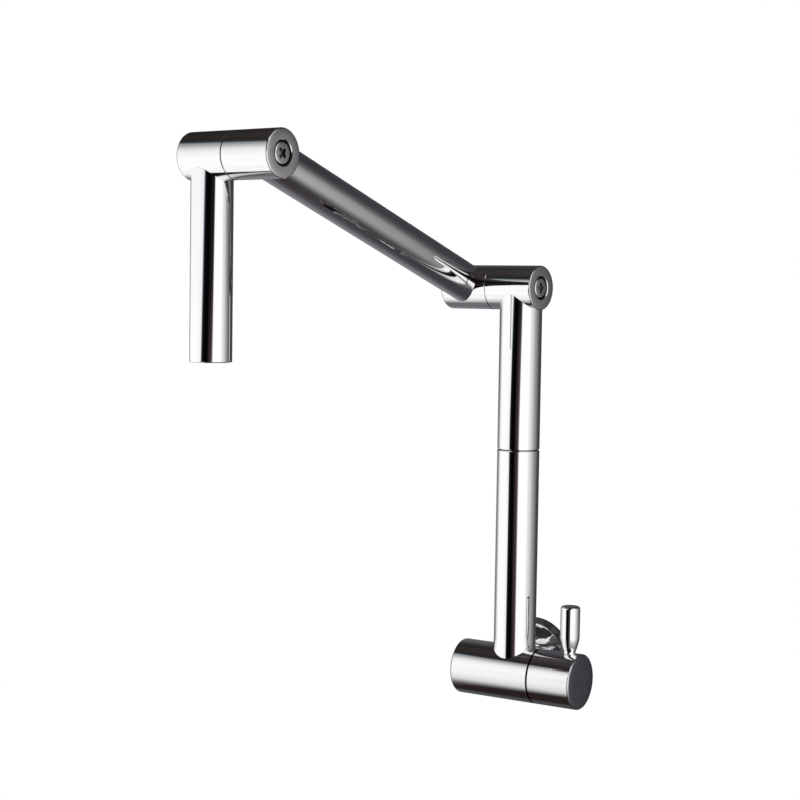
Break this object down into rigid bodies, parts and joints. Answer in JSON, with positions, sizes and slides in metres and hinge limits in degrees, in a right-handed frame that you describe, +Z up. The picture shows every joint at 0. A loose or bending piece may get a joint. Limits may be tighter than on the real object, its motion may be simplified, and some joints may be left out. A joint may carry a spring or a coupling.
{
  "type": "wall mounted pot filler",
  "caption": "Wall mounted pot filler: quarter-turn valve, swivelling column, and an arm and a spout on offset barrel hinges, all in polished chrome.",
  "frame": {"origin": "centre of the inlet thread where it meets the wall", "axes": "+X along the valve towards its lever, -Y out of the wall, +Z up"},
  "size_m": [0.1415, 0.2507, 0.3269],
  "materials": {
    "polished_chrome": "mirror polished chrome plate",
    "screw_chrome": "satin chrome plate",
    "brass": "machined brass",
    "ceramic": "lapped ceramic",
    "rubber": "moulded rubber",
    "acetal": "moulded black acetal",
    "steel": "spring and screw steel"
  },
  "bodies": {
    "base": {"wall_flange": "polished_chrome", "inlet_nipple": "polished_chrome", "valve_body": "polished_chrome", "seat_seal": "rubber", "fixed_disc": "ceramic", "cartridge_body": "brass", "cartridge_gasket": "rubber", "riser_lower": "polished_chrome", "swivel_spigot": "brass", "swivel_o_rings": "rubber", "swivel_washer": "acetal", "swivel_snap_ring": "steel"},
    "handle": {"handle_hub": "polished_chrome", "lever_pin": "polished_chrome", "hub_set_screw": "steel", "cartridge_stem": "brass", "stem_o_rings": "rubber", "stem_clip": "steel", "moving_disc": "ceramic"},
    "riser": {"riser_upper": "polished_chrome", "elbow_column_barrel": "polished_chrome"},
    "arm": {"elbow_arm_barrel": "polished_chrome", "elbow_spindle": "brass", "elbow_o_rings": "rubber", "elbow_thrust_washer": "acetal", "elbow_screw": "screw_chrome", "elbow_screw_washer": "steel", "arm_tube": "polished_chrome", "tip_arm_barrel": "polished_chrome"},
    "spout": {"tip_spout_barrel": "polished_chrome", "tip_spindle": "brass", "tip_o_rings": "rubber", "tip_thrust_washer": "acetal", "tip_screw": "screw_chrome", "tip_screw_washer": "steel", "spout_tube": "polished_chrome", "aerator_housing": "brass", "aerator_insert": "acetal", "aerator_washer": "rubber"}
  },
  "joints": [
    {"name": "handle_turn", "type": "hinge", "parent": "base", "child": "handle", "pos_m": [0, -0.0415, 0], "axis": [1, 0, 0], "range_deg": [0, 90]},
    {"name": "column_swivel", "type": "hinge", "parent": "base", "child": "riser", "pos_m": [0.009, -0.0415, 0.1305], "axis": [0, 0, 1], "range_deg": [-36, 95]},
    {"name": "elbow_hinge", "type": "hinge", "parent": "riser", "child": "arm", "pos_m": [0.009, -0.0415, 0.2236], "axis": [0.9969, -0.0785, 0], "range_deg": [-70, 89]},
    {"name": "spout_hinge", "type": "hinge", "parent": "arm", "child": "spout", "pos_m": [-0.03999, -0.22299, 0.28867], "axis": [0.9969, -0.0785, 0], "range_deg": [-90, 70]}
  ]
}
